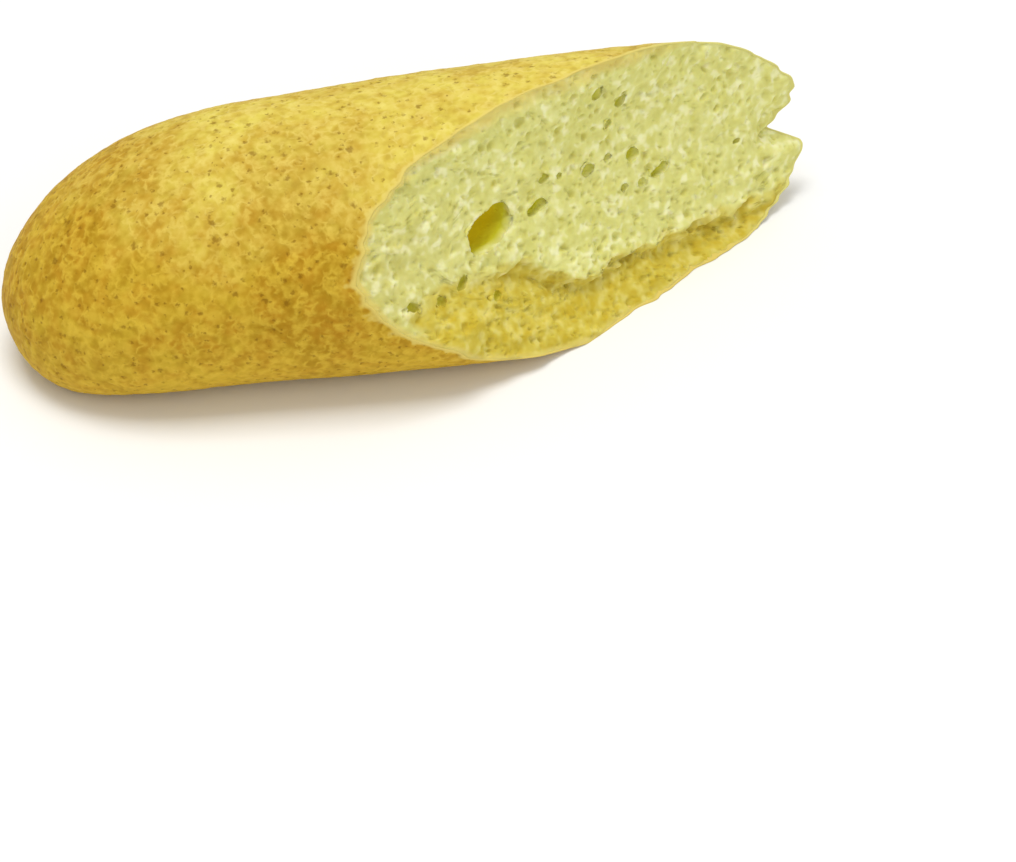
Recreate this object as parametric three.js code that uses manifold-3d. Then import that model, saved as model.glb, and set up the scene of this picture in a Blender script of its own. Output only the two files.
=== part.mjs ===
// Half of a semolina baguette, torn off on a long slant: one solid of bread.
// A hand-shaped loaf with a blunt low end and a flat sole, and a torn face that shows
// the crumb: a long oval, leaning back a little, with a ragged ledge above a hollow
// strip that runs down to the bottom crust, a notch in the far rim, and open holes.
//
// Frame: millimetres, +Z up. The loaf lies along X with its closed end at -X. Its sole
// rests on Z = 0, and the origin is on the sole, in the middle of the length and width.

import * as THREE from "three";
import { ImprovedNoise } from "three/addons/math/ImprovedNoise.js";
import { mergeVertices } from "three/addons/utils/BufferGeometryUtils.js";
import Module from "manifold-3d";

// ---------------------------------------------------------------- driving dimensions

// The body. Lengths along the loaf are measured from the tip.
const WIDTH = 66.5; // at the fullest section
const HEIGHT = 54.9; // there too
const FULLEST = 144; // where the loaf is fullest
const SLIMMING = 7.8e-6; // share of the size lost for each square millimetre from there
const WAIST_SHARE = 0.46; // the widest line, as a share of the section's height
const SOLE_CUT = 2.3; // the round underside is pressed flat by this much

// The closed end: how far each outline takes to reach full size, and how blunt it is.
const TIP_HEIGHT = 13.5;
const SIDE_ROUNDING = { length: 40.5, fullness: 2.72, power: 2 };
const TOP_ROUNDING = { length: 60, fullness: 2.41, power: 1.85 };
const SOLE_ROUNDING = { length: 15.7, fullness: 2, power: 2 };

// The section's corners: 2 is an ellipse, and more is squarer.
const SIDE_CORNER = 2.15;
const TOP_CORNER = 1.93;
const SOLE_CORNER = 2.6;

// The torn face, as how far from the tip it lies at each point of the section.
const FACE = {
  reach: 122.9, // on the centre line, at the face's middle height
  middle: 25.1, // that height
  slant: 1.53, // millimetres further for each millimetre across: the long slant
  lean: -0.62, // and for each millimetre up: the face leans back
  twist: 0.0084,
  dish: 0.0068,
};

// The ragged ledge of crumb, and the hollow strip under it.
const LEDGE = {
  height: 9.6, // on the centre line
  fall: -0.18, // the ledge drops towards the far side
  step: { height: 9.3, from: -12.5, to: -8 }, // and steps up towards the near side
  depth: 6.8, // measured along the loaf
  lip: 3, // the height over which it drops in
  ragged: { height: 2.2, size: 9 }, // how far the edge wanders up and down
  begins: { from: -22, to: -9 }, // across the loaf
  ends: { from: 8, to: 29 },
};

// The notch in the far rim: a long upper flank and a short lower one, over a sharp tooth.
const NOTCH = {
  top: 25.5,
  deepest: 16,
  bottom: 12.6,
  depth: 6.6,
  tooth: { length: 0.9, below: 0.8, halfHeight: 2.4 },
  from: 24,
  to: 32,
};

// Where round its rim the tear ran further along the loaf: degrees from the far side.
const TONGUES = [
  { middle: 154, halfWidth: 20, length: 2 },
  { middle: 200, halfWidth: 7, length: 3.2 },
  { middle: 2, halfWidth: 17, length: 2.5 },
  { middle: 78, halfWidth: 22, length: 2.5 },
];

// The larger holes: place across and up on the face, then length along the face, height
// and depth, and how the length tilts, in degrees.
const HOLES = [
  { y: -12.8, z: 29.9, long: 13, high: 7.6, deep: 9, tilt: 13 },
  { y: -5.5, z: 28.9, long: 6.4, high: 3.2, deep: 3.6, tilt: 8 },
  { y: 9, z: 29.2, long: 3.8, high: 3, deep: 2.8, tilt: 0 },
  { y: 2.8, z: 30.8, long: 4, high: 2.2, deep: 2.4, tilt: 10 },
  { y: -2.7, z: 34, long: 3.4, high: 2.2, deep: 2.2, tilt: 0 },
  { y: 11.1, z: 23.1, long: 5.4, high: 2.4, deep: 2.8, tilt: 15 },
  { y: 7.4, z: 47.1, long: 3.6, high: 3.4, deep: 2.6, tilt: -10 },
  { y: 10.9, z: 42.1, long: 3.4, high: 2.8, deep: 2.4, tilt: 20 },
  { y: -28, z: 23.6, long: 4.4, high: 2.6, deep: 2.6, tilt: -30 },
  { y: -20.4, z: 22.4, long: 4.2, high: 2.4, deep: 2.4, tilt: 30 },
];
const HOLE_SUNK = 0.12; // how far below the face a hole's middle lies, as a share of its depth
const HOLE_LEAN = { along: 0.22, up: -0.3 }; // each runs in under its upper near edge

// Unevenness: the height of the swells in the crust and of the lumps of crumb.
const CRUST_SWELL = { height: 0.6, size: 38 };
const CRUMB_LUMP = { height: 1.3, size: 8.5 };

// The mesh: columns round the loaf, rings along the crust and rings over the torn face.
const COLUMNS = 80;
const CRUST_RINGS = 24;
const FACE_RINGS = 26;

const CRUST_COLOUR = "#cda737";

// ---------------------------------------------------------------- small helpers

const clamp01 = (v) => Math.min(1, Math.max(0, v));
const mix = (a, b, t) => a + (b - a) * t;
const smooth = (from, to, v) => {
  const t = clamp01((v - from) / (to - from));
  return t * t * (3 - 2 * t);
};
const signedPower = (v, power) => Math.sign(v) * Math.abs(v) ** power;

// A soft uneven field from about -1 to 1, whose bumps are about half of the given size.
const unevenness = new ImprovedNoise();
const bumps = (x, y, z, size) => 1.4 * unevenness.noise(x / size, y / size, z / size);

// ---------------------------------------------------------------- the baked loaf

// How full an outline is at a distance from the tip, from 0 to 1.
function rounding({ length, fullness, power }, fromTip) {
  const left = 1 - clamp01(fromTip / length);
  return (1 - left ** fullness) ** (1 / power);
}

// A point of the crust: a distance from the tip, and an angle round the section with 0
// at the far side and a quarter turn at the top.
function crustPoint(fromTip, angle) {
  const size = 1 - SLIMMING * (fromTip - FULLEST) ** 2;
  const halfWidth = (WIDTH / 2) * size * rounding(SIDE_ROUNDING, fromTip);
  const top = mix(TIP_HEIGHT, HEIGHT * size, rounding(TOP_ROUNDING, fromTip));
  const sole = mix(TIP_HEIGHT, -SOLE_CUT, rounding(SOLE_ROUNDING, fromTip));
  const waist = mix(sole, top, WAIST_SHARE);
  const side = signedPower(Math.cos(angle), 2 / SIDE_CORNER);
  const rise = Math.sin(angle);
  const y = halfWidth * side;
  const z = rise >= 0
    ? waist + (top - waist) * rise ** (2 / TOP_CORNER)
    : waist - (waist - sole) * (-rise) ** (2 / SOLE_CORNER);
  const swell = 1 + (CRUST_SWELL.height / (WIDTH / 2)) * bumps(fromTip, y, z, CRUST_SWELL.size);
  return new THREE.Vector3(fromTip, y * swell, Math.max(0, waist + (z - waist) * swell));
}

// ---------------------------------------------------------------- the torn face

// The hollow is deepest right under the ledge and comes out again to the bottom crust.
function ledgeSetback(y, z) {
  const { height, fall, step, depth, lip, ragged, begins, ends } = LEDGE;
  const raised = step.height * (1 - smooth(step.from, step.to, y));
  const edge = height + fall * y + raised + ragged.height * bumps(y, 0, 40, ragged.size);
  const outwards = 1 - clamp01((edge - z) / Math.max(edge, 1));
  const along = smooth(begins.from, begins.to, y) * (1 - smooth(ends.from, ends.to, y));
  return depth * smooth(0, lip, edge - z) * along * outwards;
}

function notchSetback(y, z) {
  const { top, deepest, bottom, depth, tooth, from, to } = NOTCH;
  const flank = z > deepest ? clamp01((top - z) / (top - deepest)) : clamp01((z - bottom) / (deepest - bottom));
  const point = tooth.length * clamp01(1 - Math.abs(z - bottom + tooth.below) / tooth.halfHeight);
  return (depth * flank - point) * smooth(from, to, y);
}

// How much further the tear ran near the rim.
function tongueReach(y, z) {
  const turn = THREE.MathUtils.radToDeg(Math.atan2(z - FACE.middle, y));
  const outwards = smooth(0.55, 1, Math.hypot((2 * y) / WIDTH, (z - FACE.middle) / FACE.middle));
  return TONGUES.reduce((reach, { middle, halfWidth, length }) => {
    const off = THREE.MathUtils.euclideanModulo(turn - middle + 180, 360) - 180;
    return reach + outwards * length * Math.exp(-((off / halfWidth) ** 2));
  }, 0);
}

// How far from the tip the loaf was torn, at a point of its section.
function tornAt(y, z) {
  const up = z - FACE.middle;
  const flat = FACE.reach + FACE.slant * y + FACE.lean * up + FACE.twist * y * up + FACE.dish * up * up;
  const lump = CRUMB_LUMP.height * bumps(flat, y, z, CRUMB_LUMP.size);
  return flat + lump + tongueReach(y, z) - ledgeSetback(y, z) - notchSetback(y, z);
}

// Where the crust's line at one angle meets the torn face, found by halving.
function rimAt(angle) {
  let near = 0;
  let far = 230;
  for (let k = 0; k < 40; k++) {
    const middle = (near + far) / 2;
    const p = crustPoint(middle, angle);
    if (middle < tornAt(p.y, p.z)) near = middle;
    else far = middle;
  }
  return near;
}

// ---------------------------------------------------------------- the solid

// A sphere's rows become the loaf's rings: from the tip along the crust to the torn rim,
// then inwards over the torn face to its middle.
function loafGeometry() {
  const rows = CRUST_RINGS + FACE_RINGS;
  const geometry = new THREE.SphereGeometry(1, COLUMNS, rows);
  const place = geometry.getAttribute("position");
  const rim = Array.from({ length: COLUMNS }, (_, k) => rimAt((-2 * Math.PI * k) / COLUMNS));
  for (let row = 0; row <= rows; row++) {
    for (let column = 0; column <= COLUMNS; column++) {
      const k = column % COLUMNS;
      const angle = (-2 * Math.PI * k) / COLUMNS;
      const alongCrust = Math.min(1, row / CRUST_RINGS);
      const fromTip = rim[k] * (1 - (1 - alongCrust) ** 0.9) ** 1.75;
      const p = crustPoint(fromTip, angle);
      if (row > CRUST_RINGS) {
        const inwards = (row - CRUST_RINGS) / FACE_RINGS;
        p.y = mix(p.y, 0, inwards);
        p.z = mix(p.z, FACE.middle, inwards);
        p.x = tornAt(p.y, p.z);
      }
      place.setXYZ(row * (COLUMNS + 1) + column, p.x, p.y, p.z);
    }
  }
  return geometry;
}

// One hole: an uneven egg sunk into the torn face, longest along the face.
const FACE_OUT = new THREE.Vector3(1, -FACE.slant, -FACE.lean).normalize();
const FACE_ALONG = new THREE.Vector3(0, 0, 1).cross(FACE_OUT).normalize();
const FACE_UP = new THREE.Vector3().crossVectors(FACE_OUT, FACE_ALONG);
const EGG_DETAIL = 2;

function holeGeometry({ y, z, long, high, deep, tilt }) {
  const egg = new THREE.IcosahedronGeometry(1, EGG_DETAIL);
  const place = egg.getAttribute("position");
  for (let k = 0; k < place.count; k++) {
    const p = new THREE.Vector3().fromBufferAttribute(place, k);
    p.multiplyScalar(1 + 0.12 * bumps(p.x + y, p.y + z, p.z, 1.7));
    place.setXYZ(k, p.x, p.y, p.z);
  }
  const turn = new THREE.Matrix4().makeBasis(FACE_ALONG, FACE_UP, FACE_OUT);
  const spin = new THREE.Matrix4().makeRotationZ(THREE.MathUtils.degToRad(tilt));
  const size = new THREE.Matrix4().makeScale(long / 2, high / 2, deep / 2);
  const lean = new THREE.Matrix4().makeShear(0, 0, 0, 0, HOLE_LEAN.along, HOLE_LEAN.up);
  egg.applyMatrix4(size).applyMatrix4(spin).applyMatrix4(lean).applyMatrix4(turn);
  const sunk = -deep * HOLE_SUNK;
  egg.translate(tornAt(y, z) + FACE_OUT.x * sunk, y + FACE_OUT.y * sunk, z + FACE_OUT.z * sunk);
  return egg;
}

const wasm = await Module();
wasm.setup();

function toSolid(geometry) {
  geometry.deleteAttribute("normal");
  geometry.deleteAttribute("uv");
  const merged = mergeVertices(geometry, 1e-4);
  return new wasm.Manifold(new wasm.Mesh({
    numProp: 3,
    vertProperties: merged.getAttribute("position").array,
    triVerts: new Uint32Array(merged.index.array),
  }));
}

function toGeometry(solid) {
  const { vertProperties, triVerts } = solid.getMesh();
  const geometry = new THREE.BufferGeometry();
  geometry.setAttribute("position", new THREE.BufferAttribute(vertProperties, 3));
  geometry.setIndex(new THREE.BufferAttribute(triVerts, 1));
  geometry.computeVertexNormals();
  return geometry;
}

const bread = HOLES.reduce(
  (loaf, hole) => loaf.subtract(toSolid(holeGeometry(hole))),
  toSolid(loafGeometry()),
);

// The origin goes to the middle of the sole.
const halfGeometry = toGeometry(bread);
halfGeometry.computeBoundingBox();
const { min, max } = halfGeometry.boundingBox;
halfGeometry.translate(-(min.x + max.x) / 2, -(min.y + max.y) / 2, -min.z);

const halfBaguette = new THREE.Mesh(
  halfGeometry,
  new THREE.MeshStandardMaterial({ color: CRUST_COLOUR, roughness: 0.62, metalness: 0 }),
);
halfBaguette.name = "half_baguette";

const part = new THREE.Group();
part.add(halfBaguette);

export default part;
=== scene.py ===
# The looks of one torn half of a semolina baguette: a thin golden crust round a soft,
# pale yellow crumb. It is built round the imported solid, in metres, in the same frame.

import math

import bmesh
import bpy
import numpy as np
from mathutils import Matrix, Vector, noise
from mathutils.kdtree import KDTree


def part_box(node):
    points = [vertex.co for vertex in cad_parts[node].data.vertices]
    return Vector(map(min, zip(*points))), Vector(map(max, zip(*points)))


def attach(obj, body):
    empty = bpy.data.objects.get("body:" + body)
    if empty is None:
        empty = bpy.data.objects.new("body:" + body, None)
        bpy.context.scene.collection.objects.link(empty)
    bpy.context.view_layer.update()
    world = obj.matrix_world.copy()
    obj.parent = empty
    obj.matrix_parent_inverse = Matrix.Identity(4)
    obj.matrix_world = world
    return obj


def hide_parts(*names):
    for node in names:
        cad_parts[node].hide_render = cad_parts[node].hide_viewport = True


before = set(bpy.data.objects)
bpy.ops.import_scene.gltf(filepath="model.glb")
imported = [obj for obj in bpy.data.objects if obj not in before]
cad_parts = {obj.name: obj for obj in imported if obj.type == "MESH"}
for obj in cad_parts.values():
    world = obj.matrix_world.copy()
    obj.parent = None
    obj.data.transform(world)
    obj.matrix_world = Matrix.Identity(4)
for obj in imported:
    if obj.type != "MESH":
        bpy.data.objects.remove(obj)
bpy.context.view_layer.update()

# ------------------------------------------------------------------ the shaped loaf
# A rope of semolina dough with blunt ends, baked on a tray, so its underside is flat.
# Lengths are in millimetres; "from_tip" runs along the loaf from the closed end's tip,
# and "angle" runs round its section, with 0 at the far side and a quarter turn on top.

MM = 0.001
CENTRE_LINE = -0.5  # across the frame, because the tear takes away more of the near side
low_corner = Vector(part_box("half_baguette")[0])
tip = Vector((low_corner.x, CENTRE_LINE * MM, low_corner.z))

LOAF_WIDTH = 66.5
LOAF_HEIGHT = 54.9
FULLEST = 144.0  # the loaf is thickest this far from its tip
SLIMMING = 7.8e-6  # share of the size lost for each square millimetre from there
WAIST_SHARE = 0.46  # height of the widest line, as a share of the section
SOLE_CUT = 2.3  # how much of the round underside the tray pressed flat
TIP_HEIGHT = 13.5
SIDE_ROUNDING = (40.5, 2.72, 2.0)  # length, fullness and power of the closed end
TOP_ROUNDING = (60.0, 2.41, 1.85)
SOLE_ROUNDING = (15.7, 2.0, 2.0)
SIDE_CORNER, TOP_CORNER, SOLE_CORNER = 2.15, 1.93, 2.6  # 2 is an ellipse, more is squarer
SWELL_HEIGHT, SWELL_SIZE = 0.5, 30.0
FACE_MIDDLE = 25.1  # height of the middle of the torn face; an inset surface shrinks to it


def smooth(start, end, value):
    """An eased step, from 0 at start to 1 at end."""
    t = np.clip((value - start) / (end - start), 0.0, 1.0)
    return t * t * (3.0 - 2.0 * t)


def bumps(points, size):
    """A soft uneven field, about -1 to 1, whose bumps are about half of size."""
    flat = (points / size).reshape(-1, 3).tolist()
    return np.array([noise.noise(point) for point in flat]).reshape(points.shape[:-1])


def rounding(shape, from_tip):
    """How far the closed end has opened out, from 0 at its tip to 1."""
    length, fullness, power = shape
    left = 1.0 - np.clip(from_tip / length, 0.0, 1.0)
    return (1.0 - left**fullness) ** (1.0 / power)


def crust_surface(from_tip, angle, inset=0.0):
    """Points of the loaf's outside, or of a surface that lies inset under it."""
    size = 1.0 - SLIMMING * (from_tip - FULLEST) ** 2
    half_width = 0.5 * LOAF_WIDTH * size * rounding(SIDE_ROUNDING, from_tip)
    top = TIP_HEIGHT + (LOAF_HEIGHT * size - TIP_HEIGHT) * rounding(TOP_ROUNDING, from_tip)
    sole = TIP_HEIGHT - (SOLE_CUT + TIP_HEIGHT) * rounding(SOLE_ROUNDING, from_tip)
    waist = sole + (top - sole) * WAIST_SHARE
    side, rise = np.cos(angle), np.sin(angle)
    y = half_width * np.sign(side) * np.abs(side) ** (2.0 / SIDE_CORNER)
    above = (top - waist) * np.abs(rise) ** (2.0 / TOP_CORNER)
    below = (waist - sole) * np.abs(rise) ** (2.0 / SOLE_CORNER)
    z = waist + np.where(rise >= 0.0, above, -below)
    points = np.stack([from_tip + 0.0 * angle, y, z], axis=-1)
    swell = 1.0 + SWELL_HEIGHT / (0.5 * LOAF_WIDTH) * bumps(points, SWELL_SIZE)
    y = y * swell
    z = np.maximum(0.0, waist + (z - waist) * swell)
    reach = np.hypot(y, z - FACE_MIDDLE)
    shrink = 1.0 - inset / np.maximum(reach, 2.0 * inset + 1e-9)
    y, z = y * shrink, FACE_MIDDLE + (z - FACE_MIDDLE) * shrink
    return np.stack([points[..., 0], y, z], axis=-1)


# The loaf was torn by hand on a long slant. The tear leans back a little, breaks off in a
# ragged ledge above a hollow strip along the bottom crust, and has a notch in its far rim.

FACE_REACH = 122.9  # from the tip to the tear, on the centre line and at its middle height
FACE_SLANT = 1.53  # millimetres further for each millimetre across
FACE_LEAN = -0.62  # and for each millimetre up
FACE_TWIST, FACE_DISH = 0.0084, 0.0068
LEDGE_HEIGHT, LEDGE_FALL = 9.6, -0.18  # on the centre line, and for each millimetre across
LEDGE_STEP, LEDGE_STEP_FROM, LEDGE_STEP_TO = 9.3, -12.5, -8.0
LEDGE_RAGGED, LEDGE_RAGGED_SIZE = 2.2, 9.0
NICKS_HEIGHT, NICKS_SIZE = 0.5, 0.35  # smaller nicks in the edge, as shares of these two
LEDGE_CRUMBS, LEDGE_CRUMB_SIZE = 2.6, 2.4
LEDGE_FADE_FROM, LEDGE_FADE_TO = -22.0, -9.0
LEDGE_END_FROM, LEDGE_END_TO = 8.0, 29.0
HOLLOW_DEPTH, HOLLOW_LIP = 6.8, 3.0  # along the loaf, and the height over which it drops in
HOLLOW_UNEVEN = 0.5
NOTCH_TOP, NOTCH_DEEPEST, NOTCH_BOTTOM = 25.5, 16.0, 12.6
NOTCH_DEPTH, NOTCH_FROM, NOTCH_TO = 6.6, 24.0, 32.0
TOOTH_LENGTH, TOOTH_BELOW, TOOTH_HALF = 0.9, 0.8, 2.4  # a short tooth at the notch's bottom
LUMP_HEIGHT, LUMP_SIZE = 1.3, 8.5
FRAY_HEIGHT, FRAY_SIZE = 1.3, 2.4  # the fine raggedness of the rim
NEAR_RIM = 0.55  # the fray begins at this share of the way from the face's middle out
# Where round its rim the tear ran further: degrees from the far side, half width, length.
RIM_TONGUES = ((154.0, 20.0, 2.0), (200.0, 7.0, 3.2), (2.0, 17.0, 2.5), (78.0, 22.0, 2.5))
# Each uneven field is read this far along, so that no two of them look alike.
HOLLOW_FIELD, EDGE_FIELD, CRUMB_FIELD, FRAY_FIELD = 20.0, 40.0, 60.0, 90.0


def ledge_edge(y):
    """The height of the ledge's broken edge, at a place across the face."""
    along = np.stack([y, 0.0 * y, 0.0 * y + EDGE_FIELD], axis=-1)
    step = LEDGE_STEP * (1.0 - smooth(LEDGE_STEP_FROM, LEDGE_STEP_TO, y))
    nicks = NICKS_HEIGHT * bumps(along, NICKS_SIZE * LEDGE_RAGGED_SIZE)
    ragged = bumps(along, LEDGE_RAGGED_SIZE) + nicks
    return LEDGE_HEIGHT + LEDGE_FALL * y + step + LEDGE_RAGGED * ragged


def below_ledge(y, z):
    """How far a point of the section lies below the ledge's crumbly edge."""
    field = np.stack([y, z, 0.0 * y + CRUMB_FIELD], axis=-1)
    return ledge_edge(y) + LEDGE_CRUMBS * bumps(field, LEDGE_CRUMB_SIZE) - z


def under_ledge(y, z):
    """1 under the ledge, 0 above it and past its ends."""
    begins = smooth(LEDGE_FADE_FROM, LEDGE_FADE_TO, y)
    ends = 1.0 - smooth(LEDGE_END_FROM, LEDGE_END_TO, y)
    return smooth(0.0, HOLLOW_LIP, below_ledge(y, z)) * (begins * ends)


def hollow_setback(y, z):
    """The hollow is deepest right under the ledge and comes out again to the bottom crust."""
    edge = ledge_edge(y)
    outwards = 1.0 - np.clip((edge - z) / np.maximum(edge, 1.0), 0.0, 1.0)
    field = np.stack([y, z, 0.0 * y + HOLLOW_FIELD], axis=-1)
    uneven = 1.0 + HOLLOW_UNEVEN * bumps(field, LEDGE_RAGGED_SIZE)
    return HOLLOW_DEPTH * under_ledge(y, z) * outwards * uneven


def notch_setback(y, z):
    """The notch in the far rim, with the short tooth below it."""
    upper = np.clip((NOTCH_TOP - z) / (NOTCH_TOP - NOTCH_DEEPEST), 0.0, 1.0)
    lower = np.clip((z - NOTCH_BOTTOM) / (NOTCH_DEEPEST - NOTCH_BOTTOM), 0.0, 1.0)
    off_tooth = np.abs(z - NOTCH_BOTTOM + TOOTH_BELOW) / TOOTH_HALF
    tooth = TOOTH_LENGTH * np.clip(1.0 - off_tooth, 0.0, 1.0)
    return (NOTCH_DEPTH * np.minimum(upper, lower) - tooth) * smooth(NOTCH_FROM, NOTCH_TO, y)


def near_rim(y, z):
    """1 at the rim of the torn face, and 0 from about halfway in."""
    out = np.hypot(2.0 * y / LOAF_WIDTH, (z - FACE_MIDDLE) / FACE_MIDDLE)
    return smooth(NEAR_RIM, 1.0, out)


def tongues(y, z):
    """How much further the tear ran at these points, all of it near the rim."""
    turn = np.degrees(np.arctan2(z - FACE_MIDDLE, y))
    further = 0.0 * y
    for middle, half_width, length in RIM_TONGUES:
        off = (turn - middle + 180.0) % 360.0 - 180.0
        further = further + length * np.exp(-((off / half_width) ** 2))
    return further * near_rim(y, z)


def torn_at(y, z):
    """How far from the tip the loaf was torn, at a point of its section."""
    up = z - FACE_MIDDLE
    flat = FACE_REACH + FACE_SLANT * y + FACE_LEAN * up + FACE_TWIST * y * up + FACE_DISH * up**2
    lump = LUMP_HEIGHT * bumps(np.stack([flat, y, z], axis=-1), LUMP_SIZE)
    field = np.stack([0.0 * y + FRAY_FIELD, y, z], axis=-1)
    fray = FRAY_HEIGHT * bumps(field, FRAY_SIZE) * near_rim(y, z)
    return flat + lump + fray + tongues(y, z) - hollow_setback(y, z) - notch_setback(y, z)


PAST_TEAR = 230.0  # further from the tip than any part of the tear
HALVINGS = 30


def torn_rim(angle, inset=0.0):
    """Where the surface that lies inset under the crust meets the tear, found by halving."""
    near, far = np.zeros_like(angle), np.full_like(angle, PAST_TEAR)
    for _ in range(HALVINGS):
        middle = 0.5 * (near + far)
        points = crust_surface(middle, angle, inset)
        inside = middle < torn_at(points[..., 1], points[..., 2])
        near, far = np.where(inside, middle, near), np.where(inside, far, middle)
    return near


# ------------------------------------------------------------------ the crust
# The baked skin of the loaf: thin, dry and golden, finely pitted and wrinkled, and flat
# underneath. At the tear it ends in a soft thin lip, and a short wall behind that holds
# the crumb.

CRUST_CELL = 0.56
CRUST_RINGS = 215
CRUST_THICKNESS = 0.4
LIP_TURNS = (45.0, 90.0, 135.0, 180.0)  # degrees over the lip's round edge
CUP_DEPTH = 17.0  # along the loaf, so that the cup's floor lies behind the ledge's hollow
WALL_STEPS = (1.0, 4.0, 8.0, 12.0, CUP_DEPTH)  # back from the tear
WALL_SLOPE = 0.15  # the crust grows thicker behind its lip by this share of the way back
FLOOR_STEPS, FLOOR_GROWTH = 8, 6.0  # from a hidden floor's edge in, and how its cells grow
FINE_ANGLES = 720
FINE_STEPS = 500

angles = np.linspace(0.0, 2.0 * math.pi, FINE_ANGLES, endpoint=False)


def even_ring(ring, cell):
    """The same closed ring with its points evenly spaced, cell apart."""
    closed = np.vstack([ring, ring[:1]])
    steps = np.linalg.norm(np.diff(closed[:, :3], axis=0), axis=1)
    run = np.concatenate([[0.0], np.cumsum(steps)])
    count = max(6, round(run[-1] / cell))
    at = np.linspace(0.0, run[-1], count, endpoint=False)
    return np.stack([np.interp(at, run, column) for column in closed.T], axis=-1)


def with_values(points, values):
    """Points with more columns: the values that the mesh keeps at each of them."""
    table = np.atleast_2d(np.asarray(values, dtype=float))
    return np.column_stack([points, np.broadcast_to(table, (len(points), table.shape[1]))])


def closing_rings(edge, cell):
    """Coarse rings that close a piece out of sight, from its edge ring to one point."""
    middle = edge.mean(axis=0)
    rings = []
    for step in range(1, FLOOR_STEPS):
        share = step / FLOOR_STEPS
        inwards = edge + (middle - edge) * share
        rings.append(even_ring(inwards, cell * (1.0 + FLOOR_GROWTH * share)))
    return rings + [middle[None, :]]


def closed_skin(name, rings, value_names):
    """A closed mesh over a row of rings whose first and last are single points."""
    starts = np.concatenate([[0], np.cumsum([len(ring) for ring in rings])])
    faces = []
    for k in range(len(rings) - 1):
        n, m = len(rings[k]), len(rings[k + 1])
        first, second = int(starts[k]), int(starts[k + 1])
        i, j = (n if n == 1 else 0), (m if m == 1 else 0)
        while i < n or j < m:
            if j == m or (i < n and (i + 1) * m <= (j + 1) * n):
                faces.append((first + i % n, first + (i + 1) % n, second + j % m))
                i += 1
            else:
                faces.append((first + i % n, second + (j + 1) % m, second + j % m))
                j += 1
    table = np.vstack(rings)
    points = table[:, :3] * MM + list(tip)
    mesh = bpy.data.meshes.new(name)
    mesh.from_pydata(points.tolist(), [], faces)
    mesh.polygons.foreach_set("use_smooth", [True] * len(faces))
    for value_name, values in zip(value_names, table[:, 3:].T):
        mesh.attributes.new(value_name, "FLOAT", "POINT").data.foreach_set("value", values)
    piece = bpy.data.objects.new(name, mesh)
    bpy.context.scene.collection.objects.link(piece)
    return piece


def crust_rings():
    """Rings from the tip to the tear, over the lip, and back down the wall behind it."""
    rim = torn_rim(angles)
    shares = np.linspace(0.0, 1.0, FINE_STEPS) ** 2  # closest together at the tip
    lines = crust_surface(shares[:, None] * rim, angles + 0.0 * shares[:, None])
    steps = np.linalg.norm(np.diff(lines, axis=0), axis=2)
    run = np.vstack([np.zeros(FINE_ANGLES), np.cumsum(steps, axis=0)])
    rings = [with_values(lines[0, :1], [run[-1].mean()])]
    for ring in range(1, CRUST_RINGS + 1):
        at = run[-1] * ring / CRUST_RINGS
        reach = [np.interp(at[k], run[:, k], shares * rim[k]) for k in range(FINE_ANGLES)]
        points = crust_surface(np.array(reach), angles)
        rings.append(even_ring(with_values(points, (rim - reach)[:, None]), CRUST_CELL))
    radius = 0.5 * CRUST_THICKNESS
    for turn in LIP_TURNS:
        lip = crust_surface(rim, angles, radius * (1.0 - math.cos(math.radians(turn))))
        lip[:, 0] += radius * math.sin(math.radians(turn))
        rings.append(even_ring(with_values(lip, [0.0]), CRUST_CELL))
    for back in WALL_STEPS:
        thickness = CRUST_THICKNESS + WALL_SLOPE * (back - 1.0)
        wall = crust_surface(rim - back, angles, thickness)
        rings.append(even_ring(with_values(wall, [0.0]), 2.0 * CRUST_CELL))
    return rings + closing_rings(rings[-1], 2.0 * CRUST_CELL)


def add(tree, kind, inputs=(), out=0, **settings):
    """Adds one node with its settings, and its inputs as values or links. Gives an output."""
    node = tree.nodes.new(kind)
    for name, value in settings.items():
        setattr(node, name, value)
    pairs = inputs.items() if isinstance(inputs, dict) else enumerate(inputs)
    for key, value in pairs:
        if isinstance(value, bpy.types.NodeSocket):
            tree.links.new(value, node.inputs[key])
        else:
            node.inputs[key].default_value = value
    return node.outputs[out] if len(node.outputs) else node


def new_tree(name, sizes):
    """A Geometry Nodes tree with a geometry input and named inputs in metres."""
    tree = bpy.data.node_groups.new(name, "GeometryNodeTree")
    tree.interface.new_socket("Geometry", in_out="INPUT", socket_type="NodeSocketGeometry")
    tree.interface.new_socket("Geometry", in_out="OUTPUT", socket_type="NodeSocketGeometry")
    for size in sizes:
        tree.interface.new_socket(size, in_out="INPUT", socket_type="NodeSocketFloat")
    return tree, tree.nodes.new("NodeGroupInput").outputs


def keep_shape(piece):
    """Turns what a piece's modifiers make into its own plain mesh."""
    graph = bpy.context.evaluated_depsgraph_get()
    piece.data = bpy.data.meshes.new_from_object(
        piece.evaluated_get(graph), preserve_all_data_layers=True, depsgraph=graph
    )
    piece.modifiers.clear()


def shape_by(piece, tree, sizes):
    """Runs a tree on a piece with these sizes, and keeps the result as its plain mesh."""
    modifier = piece.modifiers.new(tree.name, "NODES")
    modifier.node_group = tree
    for socket in tree.interface.items_tree:
        if socket.name in sizes:
            modifier[socket.identifier] = sizes[socket.name]
    keep_shape(piece)


def linear(hex_colour):
    """An sRGB hex colour as linear red, green, blue and alpha."""
    parts = [int(hex_colour[k : k + 2], 16) / 255.0 for k in (1, 3, 5)]
    return (*(p / 12.92 if p <= 0.04045 else ((p + 0.055) / 1.055) ** 2.4 for p in parts), 1.0)


# Baked crust is browned starch: matt, with a weak waxy gloss. It was wrinkled into a fine
# net of pale ridges as the loaf cooled, with a dark pit where each surface bubble burst.

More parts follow.
